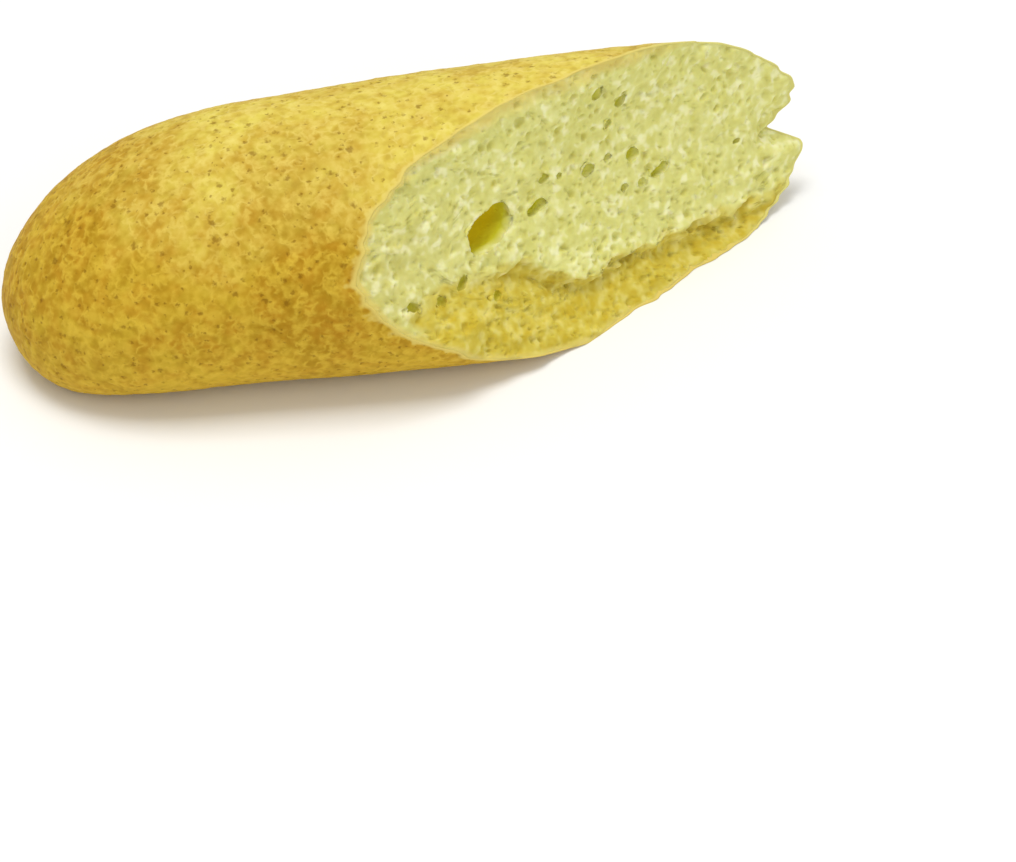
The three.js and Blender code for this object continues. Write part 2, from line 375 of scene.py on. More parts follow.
WRINKLE = 2.4 * MM
PIT = 3.2 * MM
GRAIN = 1.0 * MM
BLISTER = 2.1 * MM
MOTTLE = 5.0 * MM
BROWNING = 17.0 * MM
NOISE_LOW, NOISE_HIGH = 0.35, 0.65  # most values of a noise lie between these
WANDER = 1.6  # how far the net of wrinkles strays, as a share of its size
RIDGE_WIDTH = 0.3  # of a wrinkle's slope, as a share of the net's size
BROKEN_BELOW, WHOLE_ABOVE = 0.42, 0.62  # where in a noise the wrinkles are broken or whole
PIT_SHARES = (1.0, 0.6)  # two sizes of pit, as shares of their spacing
PIT_RADIUS_FROM, PIT_RADIUS_TO = 0.42, 0.64  # of the pits, before their nicks, as shares too
PIT_SLOPE = 0.24
NICKS_IN_PIT, NICK_SHARE = 4.0, 0.6  # how fine and how deep the nicks in a pit's edge are

SIDE_FULL, TOP_FULL = 31.0 * MM, 52.0 * MM  # the colour turns from side to top between these, partly as painted sheen
BROWNING_SHIFT = -9.0 * MM  # a browned patch has the colour of a place this much lower
SOLE_FROM, SOLE_TO = 4.0 * MM, 20.0 * MM  # the crust pales again between these, downwards
FAR_FROM, FAR_TO = 8.0 * MM, 24.0 * MM  # across the loaf, where the far side begins
LIP_PALE = 2.1  # millimetres from the tear over which the crust pales
LIP_PALE_FAR = 2.5  # and how much wider that is on the far side
AMBER_SHARE, AMBER_LEAVES = 0.6, -0.55  # the amber mottle, and how it goes towards the top
SOLE_SHARE, BLISTER_SHARE, HOLLOW_SHARE = 0.5, 0.5, 0.44  # how strong each colour is
RIDGE_SHARE, PIT_SHARE, LIP_SHARE = 0.65, 0.62, 0.9
TOP_CONTRAST = 0.6  # of the blisters and wrinkles on the pale top
# The top colours are partly painted sheen on the loaf's top, and partly a lighter bake.
GOLD, BROWNED_GOLD, TOP_GOLD_AND_SHEEN, AMBER = "#c4a32c", "#ac8519", "#dac956", "#ba851e"
PALE_GOLD, PALE_TOP_AND_SHEEN = "#dab83e", "#ecdc80"
DULL_GOLD, PIT_BROWN = "#9a7008", "#80590a"
LIP_STRAW, FAR_LIP_STRAW = "#dcc86c", "#d8d480"

baked_crust = bpy.data.materials.new("baked_semolina_crust")
baked_crust.use_nodes = True
look = baked_crust.node_tree
skin_shader = look.nodes["Principled BSDF"]
place = add(look, "ShaderNodeTexCoord", out="Object")


def crust_relief(tree, place, wrinkle_size, pit_size):
    """The pale ridges and the dark pits, each from 0 to 1, alike in colour and in shape."""
    per_wrinkle = add(tree, "ShaderNodeMath", (1.0, wrinkle_size), operation="DIVIDE")
    warp = add(tree, "ShaderNodeTexNoise",
               {"Vector": place, "Scale": per_wrinkle, "Detail": 3.0}, out="Color")
    warp = add(tree, "ShaderNodeVectorMath", (warp, (0.5, 0.5, 0.5)), operation="SUBTRACT")
    warp = add(tree, "ShaderNodeVectorMath", {0: warp, "Scale": wrinkle_size}, operation="SCALE")
    warp = add(tree, "ShaderNodeVectorMath", {0: warp, "Scale": WANDER}, operation="SCALE")
    warped = add(tree, "ShaderNodeVectorMath", (place, warp), operation="ADD")
    ridge = add(tree, "ShaderNodeTexVoronoi", {"Vector": warped, "Scale": per_wrinkle},
                feature="DISTANCE_TO_EDGE")
    ridge = add(tree, "ShaderNodeMapRange", (ridge, 0.0, RIDGE_WIDTH, 1.0, 0.0),
                interpolation_type="SMOOTHSTEP")
    whole = add(tree, "ShaderNodeTexNoise",
                {"Vector": warped, "Scale": per_wrinkle, "Detail": 1.0})
    whole = add(tree, "ShaderNodeMapRange", (whole, BROKEN_BELOW, WHOLE_ABOVE, 0.1, 1.0))
    ridge = add(tree, "ShaderNodeMath", (ridge, whole), operation="MULTIPLY")
    separate = "FunctionNodeSeparateColor" if tree.type == "GEOMETRY" else "ShaderNodeSeparateColor"
    pits = []
    for share in PIT_SHARES:
        spacing = add(tree, "ShaderNodeMath", (pit_size, share), operation="MULTIPLY")
        per_pit = add(tree, "ShaderNodeMath", (1.0, spacing), operation="DIVIDE")
        near = add(tree, "ShaderNodeTexVoronoi", {"Vector": place, "Scale": per_pit})
        per_nick = add(tree, "ShaderNodeMath", (per_pit, NICKS_IN_PIT), operation="MULTIPLY")
        nick = add(tree, "ShaderNodeTexNoise",
                   {"Vector": place, "Scale": per_nick, "Detail": 1.0})
        ragged = add(tree, "ShaderNodeMath", (nick, NICK_SHARE, near), operation="MULTIPLY_ADD")
        lot = add(tree, separate, (near.node.outputs["Color"],))
        radius = add(tree, "ShaderNodeMapRange",
                     (lot, 0.1, 1.0, PIT_RADIUS_FROM, PIT_RADIUS_TO))
        bottom = add(tree, "ShaderNodeMath", (radius, PIT_SLOPE), operation="SUBTRACT")
        pits.append(add(tree, "ShaderNodeMapRange", (ragged, radius, bottom, 0.0, 1.0),
                        interpolation_type="SMOOTHSTEP"))
    return ridge, add(tree, "ShaderNodeMath", pits, operation="MAXIMUM")


ridge, pit = crust_relief(look, place, WRINKLE, PIT)
patches = add(look, "ShaderNodeTexNoise",
              {"Vector": place, "Scale": 1.0 / BROWNING, "Detail": 2.0})
patches = add(look, "ShaderNodeMapRange", (patches, NOISE_LOW, NOISE_HIGH, 0.0, 1.0))
mottle = add(look, "ShaderNodeTexNoise", {"Vector": place, "Scale": 1.0 / MOTTLE, "Detail": 1.0})
mottle = add(look, "ShaderNodeMapRange", (mottle, NOISE_LOW, NOISE_HIGH, 0.0, AMBER_SHARE))
blister = add(look, "ShaderNodeTexNoise",
              {"Vector": place, "Scale": 1.0 / BLISTER, "Detail": 1.5, "Roughness": 0.5})
grain = add(look, "ShaderNodeTexNoise", {"Vector": place, "Scale": 1.0 / GRAIN, "Detail": 1.0})

# The top is the palest gold, partly a lighter bake and partly painted sheen; the sides are browner,
# and the very bottom is pale again.
height = add(look, "ShaderNodeSeparateXYZ", (place,), out="Z")
level = add(look, "ShaderNodeMath", (patches, BROWNING_SHIFT, height), operation="MULTIPLY_ADD")
level = add(look, "ShaderNodeMapRange", (level, SIDE_FULL, TOP_FULL, 0.0, 1.0))
amber = add(look, "ShaderNodeMath", (level, AMBER_LEAVES, 1.0), operation="MULTIPLY_ADD")
amber = add(look, "ShaderNodeMath", (amber, mottle), operation="MULTIPLY")
near_sole = add(look, "ShaderNodeMapRange", (height, SOLE_FROM, SOLE_TO, SOLE_SHARE, 0.0))

# Blisters and ridges are paler than the skin round them, hollows are duller, pits brown.
contrast = add(look, "ShaderNodeMapRange", (level, 0.0, 1.0, 1.0, TOP_CONTRAST))
blistered = add(look, "ShaderNodeMapRange", (blister, 0.5, 0.7, 0.0, BLISTER_SHARE))
blistered = add(look, "ShaderNodeMath", (blistered, contrast), operation="MULTIPLY")
dull = add(look, "ShaderNodeMapRange", (blister, 0.5, 0.3, 0.0, HOLLOW_SHARE))
dull = add(look, "ShaderNodeMath", (dull, contrast), operation="MULTIPLY")
ridged = add(look, "ShaderNodeMath", (ridge, contrast), operation="MULTIPLY")
ridged = add(look, "ShaderNodeMath", (ridged, RIDGE_SHARE), operation="MULTIPLY")
dark = add(look, "ShaderNodeMath", (pit, PIT_SHARE), operation="MULTIPLY")

# The last few millimetres before the tear are pale, unevenly, and wider on the far side.
tear = add(look, "ShaderNodeAttribute", out="Fac", attribute_name="from_tear")
across = add(look, "ShaderNodeSeparateXYZ", (place,), out="Y")
far_side = add(look, "ShaderNodeMapRange", (across, FAR_FROM, FAR_TO, 0.0, 1.0))
uneven = add(look, "ShaderNodeMapRange", (blister, 0.3, 0.7, 2.2, 0.5))
tear = add(look, "ShaderNodeMath", (tear, uneven), operation="MULTIPLY")
tear = add(look, "ShaderNodeMath", (far_side, -LIP_PALE_FAR, tear), operation="MULTIPLY_ADD")
tear = add(look, "ShaderNodeMapRange", (tear, 0.0, LIP_PALE, LIP_SHARE, 0.0),
           interpolation_type="SMOOTHSTEP")

paler = add(look, "ShaderNodeMix", {0: level, 6: linear(PALE_GOLD), 7: linear(PALE_TOP_AND_SHEEN)},
            out=2, data_type="RGBA")
straw = add(look, "ShaderNodeMix", {0: far_side, 6: linear(LIP_STRAW), 7: linear(FAR_LIP_STRAW)},
            out=2, data_type="RGBA")
colour = add(look, "ShaderNodeMix", {0: patches, 6: linear(GOLD), 7: linear(BROWNED_GOLD)},
             out=2, data_type="RGBA")
for share, over in (
    (level, linear(TOP_GOLD_AND_SHEEN)),
    (amber, linear(AMBER)),
    (near_sole, paler),
    (blistered, paler),
    (dull, linear(DULL_GOLD)),
    (ridged, paler),
    (dark, linear(PIT_BROWN)),
    (tear, straw),
):
    colour = add(look, "ShaderNodeMix", {0: share, 6: colour, 7: over}, out=2, data_type="RGBA")

relief = add(look, "ShaderNodeMath", (ridge, pit), operation="SUBTRACT")
relief = add(look, "ShaderNodeMath", (grain, 0.5, relief), operation="MULTIPLY_ADD")
bump = add(look, "ShaderNodeBump", {"Height": relief, "Strength": 0.4, "Distance": 0.12 * MM})
look.links.new(colour, skin_shader.inputs["Base Color"])
look.links.new(bump, skin_shader.inputs["Normal"])
skin_shader.inputs["Roughness"].default_value = 0.62
skin_shader.inputs["IOR"].default_value = 1.45
skin_shader.inputs["Specular IOR Level"].default_value = 0.08

CRUST_SIZES = {
    "Wrinkle Size": WRINKLE,
    "Wrinkle Height": 0.09 * MM,
    "Pit Size": PIT,
    "Pit Depth": 0.14 * MM,
    "Dimple Size": 7.0 * MM,
    "Dimple Height": 0.5 * MM,
}
FLAT_SOLE = 0.2 * MM  # the sole stays flat up to this height
CALM_TO, FULL_FROM = 0.5, 6.0  # millimetres from the tear, between which the relief grows
CALM_SHARE = 0.2

baked, sizes = new_tree("baked_surface", CRUST_SIZES)
spot = add(baked, "GeometryNodeInputPosition")
ridge, pit = crust_relief(baked, spot, sizes["Wrinkle Size"], sizes["Pit Size"])
per_dimple = add(baked, "ShaderNodeMath", (1.0, sizes["Dimple Size"]), operation="DIVIDE")
dimple = add(baked, "ShaderNodeTexNoise", {"Vector": spot, "Scale": per_dimple, "Detail": 2.0})
dimple = add(baked, "ShaderNodeMath", (dimple, 0.5), operation="SUBTRACT")
rise = add(baked, "ShaderNodeMath", (dimple, sizes["Dimple Height"]), operation="MULTIPLY")
rise = add(baked, "ShaderNodeMath", (ridge, sizes["Wrinkle Height"], rise),
           operation="MULTIPLY_ADD")
sink = add(baked, "ShaderNodeMath", (pit, sizes["Pit Depth"]), operation="MULTIPLY")
rise = add(baked, "ShaderNodeMath", (rise, sink), operation="SUBTRACT")
from_tear = add(baked, "GeometryNodeInputNamedAttribute", ("from_tear",), data_type="FLOAT")
ease = add(baked, "ShaderNodeMapRange", (from_tear, CALM_TO, FULL_FROM, CALM_SHARE, 1.0))
rise = add(baked, "ShaderNodeMath", (rise, ease), operation="MULTIPLY")
outwards = add(baked, "GeometryNodeInputNormal")
shift = add(baked, "ShaderNodeVectorMath", {0: outwards, "Scale": rise}, operation="SCALE")
height = add(baked, "ShaderNodeSeparateXYZ", (spot,), out="Z")
clear_of_sole = add(baked, "FunctionNodeCompare", {0: height, 1: FLAT_SOLE},
                    operation="GREATER_THAN")
raised = add(baked, "GeometryNodeSetPosition",
             {"Geometry": sizes["Geometry"], "Selection": clear_of_sole, "Offset": shift})
raised = add(baked, "GeometryNodeRealizeInstances", (raised,))
raised = add(baked, "GeometryNodeSetMaterial", {"Geometry": raised, "Material": baked_crust})
baked.links.new(raised, add(baked, "NodeGroupOutput").inputs[0])

crust = closed_skin("crust", crust_rings(), ["from_tear"])
shape_by(crust, baked, CRUST_SIZES)
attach(crust, "root")
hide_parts("half_baguette")

# ------------------------------------------------------------------ the crumb
# The inside of the loaf: a soft, springy sponge of small uneven bubbles, pale greenish
# yellow from the semolina. It fills the cup of the crust and ends in the torn face.

CRUMB_CELL = 0.36
CRUMB_RINGS = 130
CRUMB_INSET = 0.2
CRUMB_WALL_STEPS = (CUP_DEPTH - 1.0, 12.0, 8.0, 4.0, 2.0, 1.0)  # back from the tear
FACE_VALUES = ["from_crust", "rind", "gold_and_shade"]
BORDER_WIDTH = 0.6  # the crumb swells up beside the lip over this width
BORDER_SHARE = 0.6  # its height at the very border, as a share of its height inside
RIND_WIDTH, RIND_WIDTH_ON_TOP = 1.7, 5.5
RIND_TOP_FROM, RIND_TOP_TO = 44.0, 53.0  # up the face, where the rind widens
RIND_LOSS, RIND_LOSS_FROM, RIND_LOSS_TO = 0.75, 8.0, 24.0  # it thins out to the far side
GOLD_ABOVE = 2.0  # the crumb turns deeper yellow, partly its own colour and partly painted shade, from this far above the ledge's edge
GOLD_SOFT, GOLD_SOFT_NEAR_SIDE = 4.2, 6.0  # the height over which it deepens
SOFT_FROM, SOFT_TO = -24.0, -8.0  # across, where that height changes
PALE_LIP_FROM, PALE_LIP_TO = 1.5, 4.5  # the near lip stays pale so far in from the crust,
PALE_NEAR, PALE_FAR = -27.0, -22.0  # so far across
PALE_LOW, PALE_HIGH = 17.0, 20.0  # and from so far up
NEAR_GOLD, NEAR_GOLD_FROM, NEAR_GOLD_TO = 0.12, -30.0, -12.0  # a trace on the near side


def rind(y, z, inwards):
    """1 at the crust, 0 where the crumb has its own colour."""
    on_top = smooth(RIND_TOP_FROM, RIND_TOP_TO, z)
    width = RIND_WIDTH + (RIND_WIDTH_ON_TOP - RIND_WIDTH) * on_top
    left = 1.0 - RIND_LOSS * smooth(RIND_LOSS_FROM, RIND_LOSS_TO, y)
    return (1.0 - smooth(0.0, 1.0, inwards / width)) * left


def gold_and_shade(y, z, inwards):
    """1 where the crumb near the sole is deepest yellow, partly its own colour and partly painted
    shade, but the near lip stays pale.
    """
    near_side = 1.0 - smooth(SOFT_FROM, SOFT_TO, y)
    soft = GOLD_SOFT + (GOLD_SOFT_NEAR_SIDE - GOLD_SOFT) * near_side
    near_sole = smooth(0.0, 1.0, (below_ledge(y, z) + GOLD_ABOVE) / soft)
    at_lip = 1.0 - smooth(PALE_LIP_FROM, PALE_LIP_TO, inwards)
    at_lip = at_lip * (1.0 - smooth(PALE_NEAR, PALE_FAR, y)) * smooth(PALE_LOW, PALE_HIGH, z)
    near_gold = NEAR_GOLD * (1.0 - smooth(NEAR_GOLD_FROM, NEAR_GOLD_TO, y))
    return np.maximum(near_sole * (1.0 - at_lip), near_gold)


def crumb_rings():
    """Rings from behind the tear, up inside the crust's wall, and in over the torn face."""
    border_at = torn_rim(angles, CRUMB_INSET)
    border = crust_surface(border_at, angles, CRUMB_INSET)
    walls = []
    for back in CRUMB_WALL_STEPS:
        wall = crust_surface(border_at - back, angles, CRUMB_INSET + WALL_SLOPE * (back - 1.0))
        walls.append(even_ring(with_values(wall, [0.0, 0.0, 0.0]), 2.0 * CRUMB_CELL))
    rings = closing_rings(walls[0], 3.0 * CRUMB_CELL)[::-1] + walls
    for ring in range(CRUMB_RINGS):
        share = ring / CRUMB_RINGS
        y = border[:, 1] * (1.0 - share)
        z = FACE_MIDDLE + (border[:, 2] - FACE_MIDDLE) * (1.0 - share)
        points = np.stack([torn_at(y, z), y, z], axis=-1)
        inwards = np.linalg.norm(points - border, axis=1)
        swell = BORDER_SHARE + (1.0 - BORDER_SHARE) * smooth(0.0, BORDER_WIDTH, inwards)
        points[:, 0] += 0.5 * CRUST_THICKNESS * swell
        values = np.stack([inwards, rind(y, z, inwards), gold_and_shade(y, z, inwards)], axis=-1)
        rings.append(even_ring(with_values(points, values), CRUMB_CELL))
    y, z = np.array([0.0]), np.array([FACE_MIDDLE])
    centre = np.stack([torn_at(y, z), y, z], axis=-1)
    return rings + [with_values(centre, [rings[-1][:, 3].mean(), 0.0, 0.0])]


# The larger bubbles that the tear opened. Each is a place on the face, across and up,
# then its length along the face, its height and depth, and the tilt of its length.

HOLES = (
    (-12.8, 29.9, 13.0, 7.6, 9.0, 13.0),
    (-5.5, 28.9, 6.4, 3.2, 3.6, 8.0),
    (9.0, 29.2, 3.8, 3.0, 2.8, 0.0),
    (6.1, 31.2, 2.4, 1.8, 1.6, 0.0),
    (2.8, 30.8, 4.0, 2.2, 2.4, 10.0),
    (-2.7, 34.0, 3.4, 2.2, 2.2, 0.0),
    (-0.9, 32.7, 2.2, 1.8, 1.6, 0.0),
    (11.1, 23.1, 5.4, 2.4, 2.8, 15.0),
    (8.1, 22.3, 2.4, 1.8, 1.6, 0.0),
    (5.5, 23.4, 2.4, 1.8, 1.6, 0.0),
    (7.4, 47.1, 3.6, 3.4, 2.6, -10.0),
    (10.9, 42.1, 3.4, 2.8, 2.4, 20.0),
    (7.8, 38.6, 2.2, 1.6, 1.6, 0.0),
    (22.6, 20.0, 2.2, 1.6, 1.6, 0.0),
    (-28.0, 23.6, 4.4, 2.6, 2.6, -30.0),
    (-24.4, 21.4, 3.0, 2.0, 2.0, -20.0),
    (-20.4, 22.4, 4.2, 2.4, 2.4, 30.0),
    (-18.6, 16.6, 3.4, 2.0, 2.0, 0.0),
)
LARGE_HOLE, SMALL_HOLE = 8.0, 3.0  # longer than this, and no longer than this
HOLE_CORNER = 2.4  # of a large hole: 2 is an egg, more is squarer
HOLE_UNEVEN = 0.2
HOLE_WAVES = 1.3  # how many cells of that uneven field fit in the hole's radius
HOLE_LEAN = (-0.22, 0.3)  # how far a bubble runs in under its upper near edge, for its depth
SUNK_SHARE = 0.12  # how far below the face a bubble's middle lies, as a share of its depth


def bubble(bubbles, value, y, z, long, high, deep, tilt):
    """Adds one uneven egg, sunk into the torn face, whose value is the depth under it."""
    out = Vector((1.0, -FACE_SLANT, -FACE_LEAN)).normalized()
    along = Vector((0.0, 0.0, 1.0)).cross(out).normalized()
    turn = Matrix((along, out.cross(along), out)).transposed()
    fineness = 6 if long > LARGE_HOLE else 5 if long > SMALL_HOLE else 4
    points = bmesh.ops.create_icosphere(bubbles, subdivisions=fineness, radius=1.0)["verts"]
    x = float(torn_at(np.array([y]), np.array([z]))[0])
    middle = Vector((x, y, z)) - out * SUNK_SHARE * deep
    for point in points:
        point[value] = max(0.0, deep * (SUNK_SHARE - 0.5 * point.co.z))
        if long > LARGE_HOLE:
            point.co /= sum(abs(part) ** HOLE_CORNER for part in point.co) ** (1.0 / HOLE_CORNER)
        lean = noise.noise(point.co * HOLE_WAVES + Vector((y, z, 0.0)))
        egg = Vector((point.co.x * long, point.co.y * high, point.co.z * deep)) * 0.5
        egg = Matrix.Rotation(math.radians(tilt), 3, "Z") @ egg * (1.0 + HOLE_UNEVEN * lean)
        egg.xy -= Vector(HOLE_LEAN) * egg.z
        point.co = tip + (middle + turn @ egg) * MM


def open_holes(piece):
    """Cuts the bubbles out, and gives the new points the values of the face beside them."""
    face = KDTree(len(piece.data.vertices))
    for point in piece.data.vertices:
        face.insert(point.co, point.index)
    face.balance()
    stored = piece.data.attributes
    values = {name: [row.value for row in stored[name].data] for name in FACE_VALUES}
    bubbles = bmesh.new()
    value = bubbles.verts.layers.float.new("hole")
    for hole in HOLES:
        bubble(bubbles, value, *hole)
    mesh = bpy.data.meshes.new("bubbles")
    bubbles.to_mesh(mesh)
    bubbles.free()
    cutter = bpy.data.objects.new("bubbles", mesh)
    bpy.context.scene.collection.objects.link(cutter)
    cut = piece.modifiers.new("cut", "BOOLEAN")
    cut.operation, cut.solver, cut.object = "DIFFERENCE", "MANIFOLD", cutter
    keep_shape(piece)
    piece.data.polygons.foreach_set("use_smooth", [True] * len(piece.data.polygons))
    bpy.data.objects.remove(cutter)
    nearest = [face.find(point.co)[1] for point in piece.data.vertices]
    for name in FACE_VALUES:
        beside = [values[name][index] for index in nearest]
        piece.data.attributes[name].data.foreach_set("value", beside)


# Semolina crumb is soft steamed starch: quite matt, and light goes a little way into it.
# Its pores and holes are also painted a deeper yellow, as painted shade that glows instead of going
# grey.

CRUMB_PATCH = 6.0 * MM
FLECK = 2.4 * MM
CRUMB_GRAIN = 0.9 * MM
SHADE_FROM, SHADE_TO = -8.0 * MM, -30.0 * MM  # painted shade: the near side of the face is a little greyer
HOLE_MOUTH, HOLE_MOUTH_TO = 0.1, 1.7  # millimetres deep, where painted shade turns a hole deeper yellow
HOLE_BOTTOM, HOLE_BOTTOM_TO = 1.4, 3.8  # and where the painted shade turns gold
SHADE_SHARE, HIGHLIGHT_SHARE, FLECK_SHADE_SHARE, PORE_SHADE_SHARE = 0.55, 0.8, 0.5, 0.65  # of each colour
CRUMB_YELLOW, CRUMB_DEEPER, NEAR_SIDE_SHADE = "#dfdd8e", "#d6d37a", "#c9c57a"
HIGHLIGHT_FLECK, SHADE_FLECK, PORE_SHADE_YELLOW = "#f2f0bc", "#c6c064", "#c6bb4c"
# The gold under the ledge is partly painted shade and bounce light.
GOLD_SHADE_DARK, GOLD_SHADE_LIGHT, RIND_STRAW = "#c6ae32", "#d2be40", "#d8c66c"
MOUTH_SHADE_YELLOW, BOTTOM_SHADE_GOLD = "#d2ce2c", "#d0b802"

soft_crumb = bpy.data.materials.new("soft_semolina_crumb")
soft_crumb.use_nodes = True
look = soft_crumb.node_tree
crumb_shader = look.nodes["Principled BSDF"]
place = add(look, "ShaderNodeTexCoord", out="Object")
patches = add(look, "ShaderNodeTexNoise",
              {"Vector": place, "Scale": 1.0 / CRUMB_PATCH, "Detail": 4.0})
patches = add(look, "ShaderNodeMapRange", (patches, NOISE_LOW, NOISE_HIGH, 0.0, 1.0))
across = add(look, "ShaderNodeSeparateXYZ", (place,), out="Y")
# Painted shade over the near side of the torn face.
near_side = add(look, "ShaderNodeMapRange", (across, SHADE_FROM, SHADE_TO, 0.0, SHADE_SHARE))
# Scattered flecks: the pale ones are painted highlights on thin walls, the dull olive ones painted
# shade in small pits.
fleck = add(look, "ShaderNodeTexNoise", {"Vector": place, "Scale": 1.0 / FLECK, "Detail": 1.0})
pale = add(look, "ShaderNodeMapRange", (fleck, 0.52, 0.72, 0.0, HIGHLIGHT_SHARE))
dull = add(look, "ShaderNodeMapRange", (fleck, 0.48, 0.28, 0.0, FLECK_SHADE_SHARE))
# Painted shade in the pores: the further a bubble reaches in, the deeper yellow its pit.
depth = add(look, "ShaderNodeAttribute", out="Fac", attribute_name="pore")
depth = add(look, "ShaderNodeMapRange", (depth, 0.0, 1.0, 0.0, PORE_SHADE_SHARE))

# Towards the sole the crumb is gold, partly its own colour and partly painted shade and bounce
# light; beside the crust it is a straw rind.
gold_and_shade_share = add(look, "ShaderNodeAttribute", out="Fac", attribute_name="gold_and_shade")
uneven = add(look, "ShaderNodeMapRange", (fleck, 0.3, 0.65, 1.0, 0.74))
gold_and_shade_share = add(look, "ShaderNodeMath", (gold_and_shade_share, uneven), operation="MULTIPLY")
gold_shade_tone = add(look, "ShaderNodeMapRange", (fleck, NOISE_LOW, NOISE_HIGH, 0.0, 1.0))
gold_and_shade_colour = add(look, "ShaderNodeMix",
                 {0: gold_shade_tone, 6: linear(GOLD_SHADE_DARK), 7: linear(GOLD_SHADE_LIGHT)},
                 out=2, data_type="RGBA")
rind_share = add(look, "ShaderNodeAttribute", out="Fac", attribute_name="rind")
ragged = add(look, "ShaderNodeMath", (patches, 0.8, 0.6), operation="MULTIPLY_ADD")
rind_share = add(look, "ShaderNodeMath", (rind_share, ragged), operation="MULTIPLY")
# Painted shade down the holes: deeper yellow past the mouth, and gold near the bottom.
hole = add(look, "ShaderNodeAttribute", out="Fac", attribute_name="hole")
mouth_shade = add(look, "ShaderNodeMapRange", (hole, HOLE_MOUTH, HOLE_MOUTH_TO, 0.0, 1.0))
bottom_shade = add(look, "ShaderNodeMapRange", (hole, HOLE_BOTTOM, HOLE_BOTTOM_TO, 0.0, 1.0))

colour = add(look, "ShaderNodeMix",
             {0: patches, 6: linear(CRUMB_YELLOW), 7: linear(CRUMB_DEEPER)},
             out=2, data_type="RGBA")
for share, over in (
    (near_side, linear(NEAR_SIDE_SHADE)),
    (pale, linear(HIGHLIGHT_FLECK)),
    (dull, linear(SHADE_FLECK)),
    (depth, linear(PORE_SHADE_YELLOW)),
    (gold_and_shade_share, gold_and_shade_colour),
    (rind_share, linear(RIND_STRAW)),
    (mouth_shade, linear(MOUTH_SHADE_YELLOW)),
    (bottom_shade, linear(BOTTOM_SHADE_GOLD)),
):
    colour = add(look, "ShaderNodeMix", {0: share, 6: colour, 7: over}, out=2, data_type="RGBA")

grain = add(look, "ShaderNodeTexNoise",
            {"Vector": place, "Scale": 1.0 / CRUMB_GRAIN, "Detail": 1.5})
bump = add(look, "ShaderNodeBump", {"Height": grain, "Strength": 0.2, "Distance": 0.2 * MM})
look.links.new(colour, crumb_shader.inputs["Base Color"])
look.links.new(bump, crumb_shader.inputs["Normal"])
crumb_shader.inputs["Roughness"].default_value = 0.85
crumb_shader.inputs["Specular IOR Level"].default_value = 0.2
crumb_shader.inputs["Subsurface Weight"].default_value = 0.4
crumb_shader.inputs["Subsurface Radius"].default_value = (1.0, 0.8, 0.35)
crumb_shader.inputs["Subsurface Scale"].default_value = 1.2 * MM

CRUMB_SIZES = {
    "Bubble Spacing": 3.0 * MM,
    "Lump Size": 4.2 * MM,
    "Lump Height": 0.9 * MM,
    "Grain Size": 1.3 * MM,
    "Grain Height": 0.12 * MM,
}
BUBBLE_SHARES = (1.0, 0.7, 0.5)  # three sizes of bubble, as shares of the spacing
BUBBLE_SEED = (0.013, 0.041, 0.029)
BUBBLE_RADIUS_FROM, BUBBLE_RADIUS_TO = 0.12, 0.52  # as shares of the spacing too
PORE_DEPTH = 0.75  # of a pore, as a share of how far its bubble reaches in
FULL_SHADE = 1.2 * MM  # a bubble that reaches in this far is shaded in full
RELIEF_GAIN = 2.0  # a noise swings over about half of its range, so its relief is doubled
CALM_BORDER = 1.2  # the relief grows over this many millimetres from the crust
CALM_HOLE = 0.8  # and is halved this many millimetres down a hole

torn, sizes = new_tree("torn_sponge", CRUMB_SIZES)
spot = add(torn, "GeometryNodeInputPosition")
per_lump = add(torn, "ShaderNodeMath", (1.0, sizes["Lump Size"]), operation="DIVIDE")
per_grain = add(torn, "ShaderNodeMath", (1.0, sizes["Grain Size"]), operation="DIVIDE")
lump = add(torn, "ShaderNodeTexNoise", {"Vector": spot, "Scale": per_lump, "Detail": 2.0})
drift = add(torn, "ShaderNodeVectorMath", (lump.node.outputs["Color"], (0.5, 0.5, 0.5)),
            operation="SUBTRACT")
drift = add(torn, "ShaderNodeVectorMath", {0: drift, "Scale": sizes["Lump Size"]},
            operation="SCALE")
drifted = add(torn, "ShaderNodeVectorMath", (spot, drift), operation="ADD")
pore = add(torn, "ShaderNodeValue")
pore.default_value = 0.0
for share, seed in zip(BUBBLE_SHARES, BUBBLE_SEED):
    spacing = add(torn, "ShaderNodeMath", (sizes["Bubble Spacing"], share), operation="MULTIPLY")
    per_bubble = add(torn, "ShaderNodeMath", (1.0, spacing), operation="DIVIDE")
    where = add(torn, "ShaderNodeVectorMath", (drifted, (seed, seed, seed)), operation="ADD")
    near = add(torn, "ShaderNodeTexVoronoi", {"Vector": where, "Scale": per_bubble})
    lot = add(torn, "FunctionNodeSeparateColor", (near.node.outputs["Color"],))
    radius = add(torn, "ShaderNodeMapRange",
                 (lot, 0.0, 1.0, BUBBLE_RADIUS_FROM, BUBBLE_RADIUS_TO))
    within = add(torn, "ShaderNodeMapRange", (near, radius, 0.0, 0.0, radius),
                 interpolation_type="SMOOTHSTEP")
    within = add(torn, "ShaderNodeMath", (within, spacing), operation="MULTIPLY")
    pore = add(torn, "ShaderNodeMath", (pore, within), operation="MAXIMUM")
grain = add(torn, "ShaderNodeTexNoise", {"Vector": spot, "Scale": per_grain, "Detail": 2.0})
lump = add(torn, "ShaderNodeMath", (lump, 0.5), operation="SUBTRACT")
lump = add(torn, "ShaderNodeMath", (lump, sizes["Lump Height"]), operation="MULTIPLY")
grain = add(torn, "ShaderNodeMath", (grain, 0.5), operation="SUBTRACT")
grain = add(torn, "ShaderNodeMath", (grain, sizes["Grain Height"]), operation="MULTIPLY")
rise = add(torn, "ShaderNodeMath", (lump, grain), operation="ADD")
rise = add(torn, "ShaderNodeMath", (rise, RELIEF_GAIN), operation="MULTIPLY")
